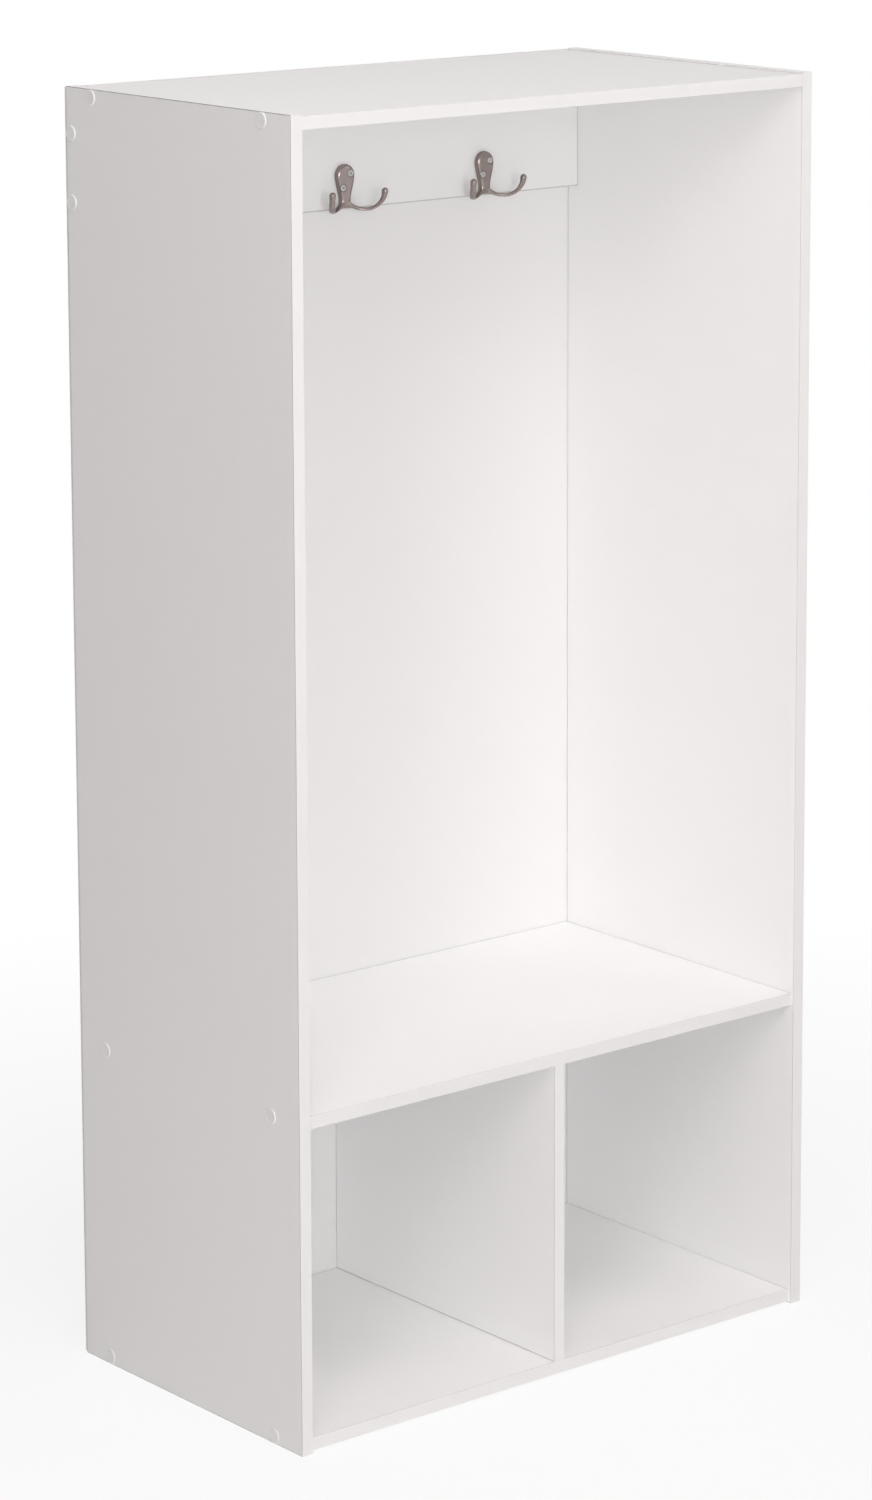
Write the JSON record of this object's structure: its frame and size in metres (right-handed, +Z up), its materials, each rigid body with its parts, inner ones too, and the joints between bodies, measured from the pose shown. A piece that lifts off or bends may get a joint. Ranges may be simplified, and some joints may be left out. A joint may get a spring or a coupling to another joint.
{
  "type": "open hall tree locker",
  "caption": "Open hall tree of white laminated board: tall coat bay with a rail of double-prong hooks, bench shelf, and open cubbies below.",
  "frame": {"origin": "floor level, under the middle of the case", "axes": "+Z up, the open front faces -Y, +X to the right as seen from the front"},
  "size_m": [0.6142, 0.34, 1.206],
  "materials": {
    "white_laminate": "white satin laminate on particle board",
    "back_sheet": "white paper-faced hardboard",
    "edge_band": "white satin edge band",
    "satin_nickel": "satin nickel plate on die casting",
    "screw_steel": "bright zinc plate",
    "dowel_wood": "plain beech",
    "cap_plastic": "white moulded plastic"
  },
  "bodies": {
    "root": {"left_side_panel": "white_laminate", "right_side_panel": "white_laminate", "top_panel": "white_laminate", "bench_shelf": "white_laminate", "bottom_panel": "white_laminate", "center_divider": "white_laminate", "hook_rail": "white_laminate", "back_sheet": "back_sheet", "left_side_edge_band": "edge_band", "right_side_edge_band": "edge_band", "top_edge_band": "edge_band", "bench_edge_band": "edge_band", "bottom_edge_band": "edge_band", "divider_edge_band": "edge_band", "rail_edge_band": "edge_band", "left_coat_hook": "satin_nickel", "middle_coat_hook": "satin_nickel", "right_coat_hook": "satin_nickel", "hook_screws": "screw_steel", "top_screws": "screw_steel", "bench_screws": "screw_steel", "bottom_screws": "screw_steel", "rail_screws": "screw_steel", "divider_screws": "screw_steel", "back_sheet_nails": "screw_steel", "divider_dowels": "dowel_wood", "left_screw_caps": "cap_plastic", "right_screw_caps": "cap_plastic"}
  },
  "joints": []
}
